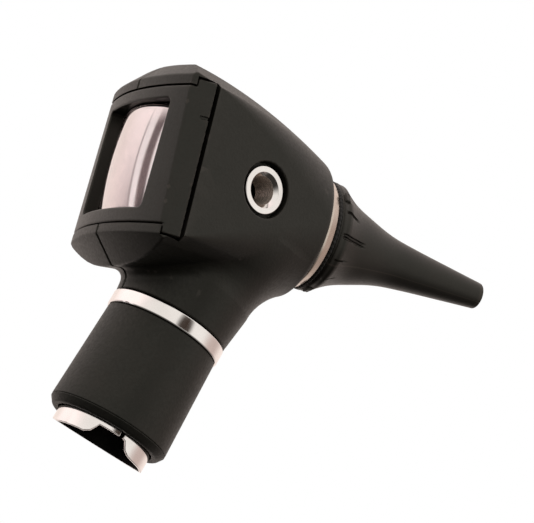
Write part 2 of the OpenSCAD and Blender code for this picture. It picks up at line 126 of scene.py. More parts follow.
SCREWS = ((-32.5, 14.8), (-31.5, -12.6), (-10.0, 10.0))
SCREW_BOSS_R, SCREW_HEAD_R, SCREW_R, THREAD_R = 2.6, 2.05, 1.15, 0.95
PORT_SUNK, PORT_FLANGE_R, PORT_TUBE_R, PORT_RECESS_R = 0.6, 5.05, 4.0, 5.95
PORT_RECESS_DEPTH, PORT_COUNTERSINK = 2.4, 0.85
PORT_BOSS_R, PORT_BOSS_DEPTH = 7.2, 4.6
PORT_FACE = mounts["insufflator_port"]["dims"]["length_mm"] / 2 + PORT_SUNK + PORT_COUNTERSINK


# ---------------------------------------------------------------- solids as distance fields

def head_points(p):
    """Coordinates along, across and above the viewing axis."""
    q = p - HEAD
    return q @ VIEW_AXIS, q[..., 1], q @ UP_AXIS


def softer_max(a, b, r):
    """The larger of two fields, with a round of about r where they meet."""
    h = np.clip(0.5 + 0.5 * (a - b) / r, 0, 1)
    return b + (a - b) * h + r * h * (1 - h)


def fillet(a, b, r):
    """Union of two fields with a concave fillet of radius r."""
    u, v = np.maximum(r - a, 0), np.maximum(r - b, 0)
    return np.maximum(r, np.minimum(a, b)) - np.hypot(u, v)


def polygon_field(u, v, points, scale):
    """Distance to a convex polygon given by its half with u above zero, bottom to top."""
    u = np.abs(u)
    nearest = np.full(u.shape, 1e9)
    side = np.full(u.shape, -1e9)
    for (u0, v0), (u1, v1) in zip(points, points[1:]):
        du, dv = u1 - u0, v1 - v0
        length = math.hypot(du, dv)
        pu, pv = u - u0 * scale, v - v0 * scale
        t = np.clip((pu * du + pv * dv) / (length**2), 0, scale)
        nearest = np.minimum(nearest, (pu - t * du) ** 2 + (pv - t * dv) ** 2)
        side = np.maximum(side, (pu * dv - pv * du) / length)
    return np.where(side > 0, np.sqrt(nearest), side)


def bar_field(u, v, half_u, half_v, corner):
    """Rounded rectangle."""
    du, dv = np.abs(u) - half_u + corner, np.abs(v) - half_v + corner
    return np.hypot(np.maximum(du, 0), np.maximum(dv, 0)) + np.minimum(np.maximum(du, dv), 0) - corner


def band(value, low, high):
    """Field that is negative between low and high."""
    return np.maximum(low - value, value - high)


def rear_section():
    """Half outline of the shell where its side walls end behind."""
    steps = 7
    shares = [i / steps for i in range(steps + 1)]
    floor = [((HALF_W + FLARE) * share, FLOOR_Z + FLOOR_RISE * share**2.6) for share in shares]
    return floor + [(HALF_W, CHEEK_TOP), (SHOULDER_Y, SHOULDER_Z), (0, ROOF_Z)]


REAR_SECTION = rear_section()


def taper_field(x, y, z):
    """Long body that runs from the faceted rear section to the round front."""
    share = np.maximum((FRONT_X - x) / (FRONT_X - GAP_X), 0.001)
    lift = ROOF_BULGE * 4 * share * (1 - share) * np.clip(z / 12, 0, 1)
    return (polygon_field(y, z - lift, REAR_SECTION, share) - (1 - share) * FRONT_R) * TAPER


def end_facet(x, y, z):
    """Plane that cuts each end of the curved rear, and follows the lean of the side wall."""
    px, py, dx, dy = FACET
    out = np.abs(y) - py - FLARE * (CHEEK_TOP - z) / (CHEEK_TOP - CHEEK_LOW)
    return (-dy * (x - px) + dx * out) / math.hypot(dx, dy)


def rear_field(x, y, z):
    """Curved rear face, with sloping faces above and below it and a facet at each end."""
    radius = np.hypot(x - REAR_X - REAR_R, y) - REAR_R
    upper = (radius + (z - GUARD_RIDGE) * GUARD_SLOPE) / math.hypot(1, GUARD_SLOPE)
    lower = (radius + (CHIN_RIDGE - z) * CHIN_SLOPE) / math.hypot(1, CHIN_SLOPE)
    crisp = 0.2
    return softer_max(softer_max(softer_max(radius, upper, crisp), lower, crisp), end_facet(x, y, z), crisp)


def neck_field(p, x, body):
    """The body joined to its neck: a wide web in front, a tight crease at the sides and behind."""
    z = p[..., 2]
    radius = np.hypot(p[..., 0], p[..., 1])
    wall = NECK_R + NECK_SPREAD * np.clip((z - NECK_LOW) / NECK_SPREAD_OVER, 0, 1)
    neck = softer_max(np.maximum(radius - wall, z - NECK_TOP), NECK_LOW - z, 0.35)
    forward = np.clip((p[..., 0] + 4) / 15, 0, 1)
    web = WEB_BEHIND + WEB_IN_FRONT * forward**2 * (3 - 2 * forward)
    joined = fillet(neck, body, web)
    return softer_max(joined, x - FRONT_X, 0.9)


def port_points(p):
    """Distance from the port's axis, and height out of the side wall."""
    q = p - PORT
    height = q @ PORT_AXIS
    return np.sqrt(np.maximum((q * q).sum(-1) - height**2, 0)), height - PORT_FACE


def shell_field(p):
    """Both halves of the shell as one solid, with every hollow but the screws'."""
    x, y, z = head_points(p)
    taper = taper_field(x, y, z)
    body = softer_max(taper, rear_field(x, y, z), 0.3)
    solid = neck_field(p, x, softer_max(body, x - FRONT_X, 1.6))
    solid = np.maximum(solid, (SEAM_GROOVE + solid - np.abs(y)) * 0.7)
    room = softer_max(taper + WALL + 0.4, band(x, ROOM_REAR_X, ROOM_FRONT_X), 1.2)
    for sx, sz in SCREWS:
        room = np.maximum(room, SCREW_BOSS_R - np.hypot(x - sx, z - sz))
    radius, height = port_points(p)
    room = np.maximum(room, -np.maximum(radius - PORT_BOSS_R, band(height, -PORT_BOSS_DEPTH, 0)))
    solid = np.maximum(solid, -room)
    opening = bar_field(y, z - WINDOW_Z, OPENING_HALF_W, OPENING_HALF_H, 3)
    solid = np.maximum(solid, -np.maximum(opening, band(x, GAP_X - 1, GAP_X + 3)))
    solid = softer_max(solid, -np.maximum(np.hypot(y, z) - SEAT_R, SEAT_X - x), 0.3)
    above = p[..., 2]
    handle_r = np.hypot(p[..., 0], p[..., 1])
    solid = np.maximum(solid, -np.maximum(handle_r - SLEEVE_WAY_R, above - SLEEVE_WAY_TOP))
    return np.maximum(solid, -np.maximum(handle_r - FERRULE_WAY_R, above - NECK_TOP))


def left_shell_field(p):
    """The far half, with the screws' counterbored holes."""
    x, y, z = head_points(p)
    solid = shell_field(p)
    for sx, sz in SCREWS:
        radius = np.hypot(x - sx, z - sz)
        hole = np.where(y > 7, radius - SCREW_HEAD_R, radius - SCREW_R)
        solid = np.maximum(solid, -np.maximum(hole, -y - 1))
    return solid


def right_shell_field(p):
    """The near half, with the port's recess and the screws' threaded holes."""
    x, y, z = head_points(p)
    radius, height = port_points(p)
    recess = np.maximum(radius - PORT_RECESS_R, -PORT_RECESS_DEPTH - height)
    solid = softer_max(shell_field(p), -recess, 0.3)
    solid = np.maximum(solid, PORT_TUBE_R + 0.05 - radius)
    for sx, sz in SCREWS:
        hole = np.maximum(np.hypot(x - sx, z - sz) - THREAD_R, band(y, -6.2, 1))
        solid = np.maximum(solid, -hole)
    return solid


def carrier_field(p):
    """Sliding frame that holds the lens in its window."""
    x, y, z = head_points(p)
    radius = np.hypot(x - REAR_X - REAR_R, y) - REAR_R
    face = softer_max(radius, band(z, CARRIER_LOW, CARRIER_HIGH), 0.45)
    tongue = softer_max(band(z, TONGUE_LOW, TONGUE_HIGH), TONGUE_X - x, 0.3)
    tongue = softer_max(tongue, x - CARRIER_X, 1.1)
    stop = softer_max(band(z, TONGUE_LOW - 0.4, TONGUE_HIGH + 0.2), STOP_X - x, 0.5)
    stop = softer_max(stop, y - STOP_Y, 0.3)
    ends = end_facet(x, y, z) + ENDS_IN
    solid = softer_max(np.minimum(np.minimum(face, tongue), stop), ends, 0.35)
    solid = softer_max(solid, x - CARRIER_X, 0.25)
    window = bar_field(y, z - WINDOW_Z, WINDOW_W / 2, WINDOW_H / 2, 1.2)
    pocket = bar_field(y, z - WINDOW_Z, WINDOW_W / 2 + POCKET_RIM, WINDOW_H / 2 + POCKET_RIM, 3)
    solid = softer_max(solid, -window, 0.45)
    solid = np.maximum(solid, -np.maximum(pocket, POCKET_X - x))
    mark = np.maximum(band(z, MARK_LOW, MARK_HIGH), CARRIER_X - MARK_LENGTH - x)
    mark = np.maximum(mark, -MARK_DEPTH - ends)
    return np.maximum(solid, -np.maximum(mark, y))


def lens_field(p):
    """Magnifying lens: a strongly curved face across, a gentle one up and down, and a flange behind."""
    x, y, z = head_points(p)
    across = LENS_R - np.sqrt(LENS_R**2 - np.minimum(y * y, LENS_REACH**2))
    face = LENS_TOP + across + (z - WINDOW_Z) ** 2 / (2 * LENS_TALL_R)
    bulge = bar_field(y, z - WINDOW_Z, WINDOW_W / 2 - 0.2, WINDOW_H / 2 - 0.2, 2.4)
    bulge = softer_max(bulge, (face - x) * 0.88, 0.5)
    bulge = np.maximum(bulge, x - POCKET_X - 1)
    rim = bar_field(y, z - WINDOW_Z, WINDOW_W / 2 + 0.9, WINDOW_H / 2 + 0.9, 3)
    rim = softer_max(rim, band(x, POCKET_X + 0.02, POCKET_X + 1.3), 0.2)
    return np.minimum(bulge, rim)


# lower rim of the bayonet ring: degrees round from the middle of its cut-out, and the height there
RIM_STEPS = ((-30, -3.55), (-23, -2.9), (-19.5, -1.9), (-16.6, -0.98), (14, -1.0), (17.2, -1.1), (19, -1.6),
             (23.4, -2.8), (30, -3.4), (40, -3.6))
CUT_OUT_AT, SLIT_FROM, SLIT_TO, SLIT_TOP = -103.0, 9.0, 13.6, 1.6
SLANT_TOWARDS, SLANT, SLANT_LIFT = 80, 0.178, 0.5  # the far rim: direction, rise for each mm, height


def ring_field(p):
    """Bayonet ring: its near rim is cut into an arch, a thin strip and a slit, its far rim on a slant."""
    x, y, z = p[..., 0], p[..., 1], p[..., 2]
    turn = (np.degrees(np.arctan2(y, x)) - CUT_OUT_AT + 180) % 360 - 180
    rim = np.interp(turn, *np.transpose(RIM_STEPS))
    up_slope = math.radians(SLANT_TOWARDS)
    far = SLANT_LIFT + RING_LOW + SLANT * (x * math.cos(up_slope) + y * math.sin(up_slope))
    rim = softer_max(rim, far, 0.2)
    wall = softer_max(band(np.hypot(x, y), SOCKET_R, RIM_R), (rim - z) * 0.75, 0.14)
    wall = softer_max(wall, z - RING_HIGH, 0.2)
    slit = np.maximum(band(turn, SLIT_FROM, SLIT_TO) * math.radians(1) * RIM_R, z - SLIT_TOP)
    return softer_max(wall, -slit, 0.12)


# ---------------------------------------------------------------- meshes

QUICK = 1.0


def sampled(field, low, pitch, counts):
    """Values of a field on a grid, worked out layer by layer on every core."""
    y = low[1] + pitch * np.arange(counts[1])
    z = low[2] + pitch * np.arange(counts[2])
    value = np.empty(counts)

    def layer(i):
        points = np.empty((counts[1], counts[2], 3))
        points[..., 0] = low[0] + pitch * i
        points[..., 1] = y[:, None]
        points[..., 2] = z[None, :]
        value[i] = field(points)

    with ThreadPoolExecutor() as pool:
        list(pool.map(layer, range(counts[0])))
    for axis in range(3):  # the outermost layers are left empty, so that every surface closes
        outer = np.moveaxis(value, axis, 0)
        outer[[0, -1]] = np.maximum(outer[[0, -1]], pitch / 4)
    return value


def surface_net(value):
    """Quads round the zero level of a grid of values: corners in grid steps, and faces."""
    inside = value < 0
    shape = np.array(value.shape) - 1
    corners = [np.array([i, j, k]) for i in (0, 1) for j in (0, 1) for k in (0, 1)]
    count = sum(
        inside[c[0] : c[0] + shape[0], c[1] : c[1] + shape[1], c[2] : c[2] + shape[2]].astype(np.int8)
        for c in corners
    )
    active = (count > 0) & (count < 8)
    cells = np.argwhere(active)
    index = np.full(active.shape, -1)
    index[active] = np.arange(len(cells))
    total, hits = np.zeros((len(cells), 3)), np.zeros(len(cells))
    for a in corners:
        for axis in range(3):
            if a[axis]:
                continue
            b = a.copy()
            b[axis] = 1
            va, vb = value[tuple((cells + a).T)], value[tuple((cells + b).T)]
            crossed = (va < 0) != (vb < 0)
            share = np.where(crossed, va / np.where(crossed, va - vb, 1), 0)
            total += crossed[:, None] * (a + share[:, None] * (b - a))
            hits += crossed
    corners_at = cells + total / hits[:, None]
    faces = []
    for axis in range(3):
        one, two = (axis + 1) % 3, (axis + 2) % 3
        here = [slice(1, n) for n in shape]
        here[axis] = slice(0, shape[axis])
        there = list(here)
        there[axis] = slice(1, shape[axis] + 1)
        a, b = inside[tuple(here)], inside[tuple(there)]
        start = np.argwhere(a != b) + [0 if i == axis else 1 for i in range(3)]
        out = a[a != b]
        quad = []
        for du, dv in ((0, 0), (-1, 0), (-1, -1), (0, -1)):
            cell = start.copy()
            cell[:, one] += du
            cell[:, two] += dv
            quad.append(index[tuple(cell.T)])
        quad = np.stack(quad, 1)
        quad[~out] = quad[~out][:, ::-1]
        faces.append(quad)
    return corners_at, np.concatenate(faces)


def slope(field, points, step=0.02):
    """Gradient of a field."""
    return np.stack(
        [(field(points + o) - field(points - o)) / (2 * step) for o in np.eye(3) * step], -1
    )


def settle(field, points, reach, rounds=3):
    """Moves points onto the zero level, by no more than reach."""
    start = points
    for _ in range(rounds):
        value, lean = field(points), slope(field, points)
        points = points - (value / np.maximum((lean**2).sum(-1), 0.05))[:, None] * lean
        shift = points - start
        length = np.linalg.norm(shift, axis=-1, keepdims=True)
        points = start + shift * np.minimum(1, reach / np.maximum(length, 1e-9))
    return points


def mesh_object(name, points, faces):
    """A mesh in the scene, from points in millimetres."""
    mesh = bpy.data.meshes.new(name)
    mesh.from_pydata((np.asarray(points) * MM).tolist(), [], np.asarray(faces, dtype=object).tolist())
    mesh.validate()
    mesh.update()
    made = bpy.data.objects.new(name, mesh)
    bpy.context.scene.collection.objects.link(made)
    return made


def keep_modified(made):
    """Applies an object's modifiers."""
    graph = bpy.context.evaluated_depsgraph_get()
    mesh = bpy.data.meshes.new_from_object(made.evaluated_get(graph))
    made.modifiers.clear()
    old = made.data
    made.data = mesh
    bpy.data.meshes.remove(old)
    mesh.name = made.name


def points_of(mesh):
    """A mesh's vertices as rows of an array."""
    co = np.empty(len(mesh.vertices) * 3, np.float32)
    mesh.vertices.foreach_get("co", co)
    return co.reshape(-1, 3).astype(float)


def shade_by_field(made, field, cut_y=None):
    """Smooth normals from the field, and flat ones on the seam's own face."""
    mesh = made.data
    normals = slope(field, points_of(mesh) / MM)
    normals /= np.maximum(np.linalg.norm(normals, axis=-1, keepdims=True), 1e-9)
    loops = np.empty(len(mesh.loops), np.int32)
    mesh.loops.foreach_get("vertex_index", loops)
    loop_normals = normals[loops]
    face_normals = np.empty(len(mesh.polygons) * 3, np.float32)
    mesh.polygons.foreach_get("normal", face_normals)
    face_normals = face_normals.reshape(-1, 3)
    sizes = np.empty(len(mesh.polygons), np.int32)
    mesh.polygons.foreach_get("loop_total", sizes)
    own = np.repeat(face_normals, sizes, axis=0)
    flat = (own * loop_normals).sum(-1) < 0.5
    if cut_y is not None:
        centres = np.empty(len(mesh.polygons) * 3, np.float32)
        mesh.polygons.foreach_get("center", centres)
        on_seam = np.abs(centres.reshape(-1, 3)[:, 1] - cut_y * MM) < 2e-6
        flat |= np.repeat(on_seam, sizes)
    loop_normals[flat] = own[flat]
    mesh.polygons.foreach_set("use_smooth", np.ones(len(mesh.polygons), bool))
    mesh.normals_split_custom_set(loop_normals.tolist())


def prism(name, outline, y0, y1):
    """A bar between two distances from the middle plane, drawn as [x, z] in the head's own axes."""
    count = len(outline)
    points = [HEAD + x * VIEW_AXIS + y * SIDE_AXIS + z * UP_AXIS for y in (y0, y1) for x, z in outline]
    sides = [(i, count + i, count + (i + 1) % count, (i + 1) % count) for i in range(count)]
    return mesh_object(name, points, sides + [tuple(range(count)), tuple(range(count, 2 * count))[::-1]])


def cut_away(made, tools):
    """Takes closed meshes out of an object, and removes them."""
    for tool in tools:
        cut = made.modifiers.new("cut", "BOOLEAN")
        cut.operation, cut.solver, cut.object = "DIFFERENCE", "MANIFOLD", tool
    keep_modified(made)
    for tool in tools:
        bpy.data.objects.remove(tool)


def solid(name, field, low, high, pitch, keep=0.5, tools=(), cut_y=None):
    """A solid from its field, less some tools. keep is the share of its faces that stays."""
    pitch *= QUICK
    counts = tuple(int(math.ceil(n)) + 1 for n in (np.array(high) - low) / pitch)
    corners, faces = surface_net(sampled(field, low, pitch, counts))
    made = mesh_object(name, settle(field, np.array(low) + corners * pitch, pitch * 0.7), faces)
    if keep < 1:
        fewer = made.modifiers.new("fewer", "DECIMATE")
        fewer.ratio = keep
        keep_modified(made)
        points = settle(field, points_of(made.data) / MM, pitch * 0.5, 2) * MM
        made.data.vertices.foreach_set("co", points.astype(np.float32).ravel())
    if tools:
        cut_away(made, tools)
    shade_by_field(made, field, cut_y)
    return made


def arc(centre, radius, start, stop, steps=5):
    """Points of a circular arc; angles in degrees."""
    angles = np.radians(np.linspace(start, stop, steps + 1))
    return [(centre[0] + radius * math.cos(a), centre[1] + radius * math.sin(a)) for a in angles]


def eased(points, radius, steps=4):
    """A closed outline with its corners rounded; radius is one number or one for each corner."""
    radii = [radius] * len(points) if np.isscalar(radius) else radius
    made = []
    for i, (here, r) in enumerate(zip(points, radii)):
        here = Vector(here)
        before, after = Vector(points[i - 1]) - here, Vector(points[(i + 1) % len(points)]) - here
        half = before.angle(after) / 2
        reach = min(r / max(math.tan(half), 1e-6), 0.45 * before.length, 0.45 * after.length)
        if r == 0 or half > math.radians(88):
            made.append(tuple(here))
            continue
        a, b = here + before.normalized() * reach, here + after.normalized() * reach
        for k in range(steps + 1):
            t = k / steps
            made.append(tuple(a * (1 - t) ** 2 + here * 2 * t * (1 - t) + b * t * t))
    return made


def turned(name, outline, origin, axis, across, segments=192, shape=None, crease=32):
    """A lathe-turned ring: outline holds [radius, height], and shape may change the radius round it."""
    outline = np.array(outline, float)
    origin, axis, across = (np.array(v, float) for v in (origin, axis, across))
    third = np.cross(axis, across)
    angles = np.linspace(0, 2 * math.pi, segments, endpoint=False)
    radius = np.repeat(outline[:, 0][None], segments, 0)
    height = np.repeat(outline[:, 1][None], segments, 0)
    if shape:
        radius = shape(radius, height, angles[:, None])
    turn = np.cos(angles)[:, None, None] * across + np.sin(angles)[:, None, None] * third
    points = origin + radius[..., None] * turn + height[..., None] * axis
    n = len(outline)
    i = np.repeat(np.arange(segments), n)
    j = np.tile(np.arange(n), segments)
    i1, j1 = (i + 1) % segments, (j + 1) % n
    faces = np.stack([i * n + j, i1 * n + j, i1 * n + j1, i * n + j1], 1)
    around = sum(a[0] * b[1] - b[0] * a[1] for a, b in zip(outline, np.roll(outline, -1, 0)))
    if around > 0:
        faces = faces[:, ::-1]
    made = mesh_object(name, points.reshape(-1, 3), faces)
    made.data.polygons.foreach_set("use_smooth", np.ones(len(faces), bool))
    made.data.set_sharp_from_angle(angle=math.radians(crease))
    return made


def about_handle(name, outline, **options):
    """A ring turned about the handle axis."""
    return turned(name, outline, (0, 0, 0), (0, 0, 1), (1, 0, 0), **options)


def about_view(name, outline, **options):
    """A ring turned about the viewing axis."""
    return turned(name, outline, HEAD, VIEW_AXIS, -SIDE_AXIS, **options)


def place(made, node, material):
    """The piece stands for a CAD node, moves with its body and wears a material."""
    body = next(b for b, members in frame["record"]["behaviour"]["bodies"].items() if node in members)
    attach(made, body)
    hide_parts(node)
    made.data.materials.clear()
    made.data.materials.append(material)
    return made


# ---------------------------------------------------------------- materials

class Tree:
    """Short names for building a material's nodes."""

    def __init__(self, name):
        self.material = bpy.data.materials.new(name)
        self.material.use_nodes = True
        self.nodes, self.links = self.material.node_tree.nodes, self.material.node_tree.links
        self.shader = self.nodes["Principled BSDF"]
        self.where = self.nodes.new("ShaderNodeTexCoord").outputs["Object"]

    def plain(self, **values):
        """Values on the shader's own sockets, with _ for a space in their names."""
        for label, value in values.items():
            self.shader.inputs[label.replace("_", " ")].default_value = value
        return self

    def stretched(self, x, y, z):
        """Coordinates for a noise that is drawn out along an axis."""
        node = self.nodes.new("ShaderNodeMapping")
        node.inputs["Scale"].default_value = (x, y, z)
        self.links.new(self.where, node.inputs["Vector"])
        return node.outputs["Vector"]

    def noise(self, per_mm, detail=3.0, roughness=0.55, where=None):
        """Noise with so many features for each millimetre."""
        node = self.nodes.new("ShaderNodeTexNoise")
        node.inputs["Scale"].default_value = per_mm / MM
        node.inputs["Detail"].default_value = detail
        node.inputs["Roughness"].default_value = roughness
        self.links.new(where or self.where, node.inputs["Vector"])
        return node.outputs["Fac"]

    def ranged(self, value, low, high, from_low=0.3, from_high=0.7):
        """A value carried from one range to another."""
        node = self.nodes.new("ShaderNodeMapRange")
        self.links.new(value, node.inputs["Value"])
        ends = {"From Min": from_low, "From Max": from_high, "To Min": low, "To Max": high}
        for label, number in ends.items():
            node.inputs[label].default_value = number
        return node.outputs["Result"]

    def mixed(self, factor, first, second):
        """A blend of two colours, each a tuple or a socket."""
        node = self.nodes.new("ShaderNodeMix")
        node.data_type = "RGBA"
        self.links.new(factor, node.inputs["Factor"])
        for socket, colour in ((node.inputs["A"], first), (node.inputs["B"], second)):
            if isinstance(colour, tuple):
                socket.default_value = (*colour, 1)
            else:
                self.links.new(colour, socket)
        return node.outputs["Result"]

    def edge(self):
        """Convex edges, where handling has polished the surface."""
        geometry = self.nodes.new("ShaderNodeNewGeometry")
        return self.ranged(geometry.outputs["Pointiness"], 0, 1, 0.52, 0.6)

    def colour(self, value):
        self.links.new(value, self.shader.inputs["Base Color"])

    def roughness(self, value):
        self.links.new(value, self.shader.inputs["Roughness"])

    def bump(self, height, depth_mm, strength=1.0):
        node = self.nodes.new("ShaderNodeBump")
        node.inputs["Strength"].default_value = strength
        node.inputs["Distance"].default_value = depth_mm * MM
        self.links.new(height, node.inputs["Height"])
        self.links.new(node.outputs["Normal"], self.shader.inputs["Normal"])


def plastic(name, dark, light, worn, rough, grain_per_mm, grain_mm):
    """Moulded plastic: mottled colour, a fine spark-eroded grain, and edges that are a little worn."""
    tree = Tree(name)
    blotch = tree.ranged(tree.noise(0.12, 4), 0, 1)
    colour = tree.mixed(blotch, dark, light)
    tree.colour(tree.mixed(tree.edge(), colour, worn))
    grain = tree.noise(grain_per_mm, 2)
    tree.roughness(tree.ranged(grain, rough - 0.05, rough + 0.07))
    tree.bump(grain, grain_mm)
    return tree.plain(IOR=1.5, Specular_IOR_Level=0.4, Specular_Tint=(1.0, 0.97, 0.87, 1.0)).material


def metal(name, colour, shade, rough, streak, scratch_mm=0.0015, metallic=1.0):
    """Polished or brushed metal; streak stretches its fine lines along X, Y and Z."""
    tree = Tree(name)
    tree.plain(Metallic=metallic)
    tree.colour(tree.mixed(tree.ranged(tree.noise(0.2, 3), 0, 1), colour, shade))
    lines = tree.noise(1.0, 3, 0.6, tree.stretched(*streak))
    tree.roughness(tree.ranged(lines, rough * 0.7, rough * 1.5))
    tree.bump(lines, scratch_mm)
    return tree.material


def rubber(name):
    """Dull moulded rubber."""
    tree = Tree(name)
    tree.colour(tree.mixed(tree.noise(0.4, 4), (0.006, 0.006, 0.005), (0.018, 0.016, 0.014)))
    grain = tree.noise(6, 2)
    tree.roughness(tree.ranged(grain, 0.6, 0.8))
    tree.bump(grain, 0.012)
    return tree.material


def fibres(name):
    """Ends and sides of a glass fibre bundle."""
    tree = Tree(name)
    threads = tree.noise(1.0, 2, 0.5, tree.stretched(14, 14, 1.5))
    tree.colour(tree.mixed(tree.ranged(threads, 0, 1), (0.55, 0.42, 0.18), (0.9, 0.8, 0.5)))
    tree.roughness(tree.ranged(threads, 0.25, 0.5))
    tree.bump(threads, 0.02)
    return tree.material


def clear_glass(name, tint, share, rough):
    """Glass or acrylic whose coating sends part of the light back."""
    tree = Tree(name)
    tree.plain(IOR=1.5, Transmission_Weight=1.0, Metallic=share)
    haze = tree.noise(0.25, 3)
    tree.colour(tree.mixed(tree.ranged(haze, 0, 1), tint, tuple(0.93 * c for c in tint)))
    tree.roughness(tree.ranged(haze, rough, rough * 1.8))
    return tree.material


SHELL_BLACK = plastic(
    "shell_black", (0.0075, 0.0078, 0.0062), (0.0125, 0.0115, 0.0095), (0.03, 0.026, 0.023), 0.46, 1.7, 0.03)
CARRIER_BLACK = plastic(
    "carrier_black", (0.007, 0.0074, 0.006), (0.012, 0.011, 0.0095), (0.034, 0.028, 0.024), 0.42, 2.0, 0.02)
SPECULUM_BLACK = plastic(
    "speculum_black", (0.008, 0.0076, 0.006), (0.014, 0.012, 0.010), (0.03, 0.024, 0.02), 0.4, 2.2, 0.018)
COLLAR_BLACK = plastic(
    "collar_black", (0.008, 0.0085, 0.007), (0.014, 0.0125, 0.0105), (0.03, 0.026, 0.022), 0.52, 1.5, 0.045)
CHROME = metal("polished_chrome", (0.9, 0.86, 0.84), (0.82, 0.78, 0.76), 0.1, (6, 6, 0.2))
RING_CHROME = metal("turned_chrome", (0.66, 0.58, 0.51), (0.54, 0.46, 0.39), 0.22, (0.4, 7, 7))
REAMED = metal("reamed_bore", (0.86, 0.77, 0.7), (0.7, 0.61, 0.54), 0.25, (6, 6, 0.5), metallic=0.6)
STEEL = metal("steel", (0.55, 0.54, 0.52), (0.42, 0.41, 0.4), 0.3, (2, 2, 8))
ANODISED_AND_SHADE = metal("black_anodised_and_shade", (0.02, 0.019, 0.018), (0.035, 0.032, 0.03), 0.4, (3, 3, 3))
BRASS = metal("brass", (0.78, 0.55, 0.22), (0.6, 0.4, 0.15), 0.25, (3, 3, 6))
RUBBER = rubber("black_rubber")
NYLON = plastic("nylon", (0.62, 0.58, 0.5), (0.75, 0.71, 0.63), (0.85, 0.82, 0.75), 0.42, 2.5, 0.01)
FIBRE = fibres("glass_fibres")
GLASS = clear_glass("lamp_glass", (0.93, 0.96, 1.0), 0.0, 0.02)
LENS_GLASS = clear_glass("coated_lens", (0.97, 0.88, 0.88), 0.72, 0.05)


# ---------------------------------------------------------------- the head's pieces

def slide_channel(side):
    """What is cut away from one half of the shell: the carrier's way, and all that lies past the seam."""
    behind, step = -80, TONGUE_X - FREE
    way = [(behind, CARRIER_LOW - FREE), (step, CARRIER_LOW - FREE), (step, TONGUE_LOW - FREE),
           (GAP_X, TONGUE_LOW - FREE), (GAP_X, TONGUE_HIGH + FREE), (step, TONGUE_HIGH + FREE),
           (step, CARRIER_HIGH + FREE), (behind, CARRIER_HIGH + FREE)]
    outside, corner = 50, 1.5
    tools = [prism("channel", eased(way, [0, 0, 0, corner, corner, 0, 0, 0], 5), -outside, outside)]
    if side < 0:
        low, high = TONGUE_LOW - 0.8, TONGUE_HIGH + 0.6
        stop = [(STOP_X - FREE, low), (GAP_X, low), (GAP_X, high), (STOP_X - FREE, high)]
        tools.append(prism("stop_way", stop, -outside, STOP_Y + FREE))
    far = 90
    beyond = [(-far, -far), (far, -far), (far, far), (-far, far)]
    tools.append(prism("other_half", beyond, *sorted((side * SEAM_GAP, -side * outside))))
    return tools


def shells():
    """The two halves of the moulded head, which meet in a fine open seam."""
    low = np.minimum(size("left_shell")[0], size("right_shell")[0]) - 1
    high = np.maximum(size("left_shell")[1], size("right_shell")[1]) + 1
    past_seam, pitch, keep = 1.5, 0.32, 0.4
    left = solid("head_half_left", left_shell_field, (low[0], -past_seam, low[2]), high, pitch, keep,
                 slide_channel(1), SEAM_GAP)
    right = solid("head_half_right", right_shell_field, low, (high[0], past_seam, high[2]), pitch, keep,
                  slide_channel(-1), -SEAM_GAP)
    place(left, "left_shell", SHELL_BLACK)
    place(right, "right_shell", SHELL_BLACK)


def lens_slide():
    """The sliding frame and the lens in it."""
    low, high = size("lens_carrier")
    place(solid("lens_frame", carrier_field, low - 1, high + 1, 0.3, 0.45),
          "lens_carrier", CARRIER_BLACK)
    low, high = size("lens")
    place(solid("viewing_lens", lens_field, low - 1, high + 1, 0.35, 0.6),
          "lens", LENS_GLASS)


def nose():
    """Chrome ring on the front of the shell, and the lock ring with its rubber grip."""
    bore, foot = 10.95, FRONT_X + 0.05
    ring = eased([(bore, foot), (13.55, foot), (13.5, -0.9), (12.4, 1.05), (bore, 1.05)],
                 [0, 0.15, 2.0, 0.6, 0.2], 8)
    place(about_view("nose_ring", ring), "front_ring", RING_CHROME)
    lock = eased([(8.25, 1.2), (11, 1.2), (11, 1.85), (9.6, 1.85), (9.6, 3.2), (8.25, 3.2)], 0.12, 2)
    place(about_view("turning_ring", lock), "lock_ring", SPECULUM_BLACK)
    grip = eased([(11.02, 1.2), (12.3, 1.2), (12.55, 1.5), (12.5, 1.85), (11.02, 1.85)], 0.12, 3)
    ridges = 72

    def knurled(radius, height, angle):
        outer = np.clip((radius - 12) * 4, 0, 1)
        return radius - outer * 0.12 * (0.5 + 0.5 * np.cos(ridges * angle))

    place(about_view("rubber_grip", grip, segments=ridges * 8, shape=knurled), "grip_ring", RUBBER)


# speculum: heights above the front ring, and its outer radius there
SPECULUM_PROFILE = (
    (5.3, 11.6), (7, 10.4), (10, 9), (14, 7.75), (18, 6.45), (21.6, 5.6), (26, 5.05), (30, 4.6), (35, 4.1),
    (41, 3.5), (45.9, 3.02),
)
NOTCHES, FIRST_NOTCH = 14, 23  # how many, and degrees up from the side to the first
NOTCH_DEPTH, LUG_HEIGHT, LUG_HALF_W, LUG_AT = 0.55, 0.5, 1.1, 80


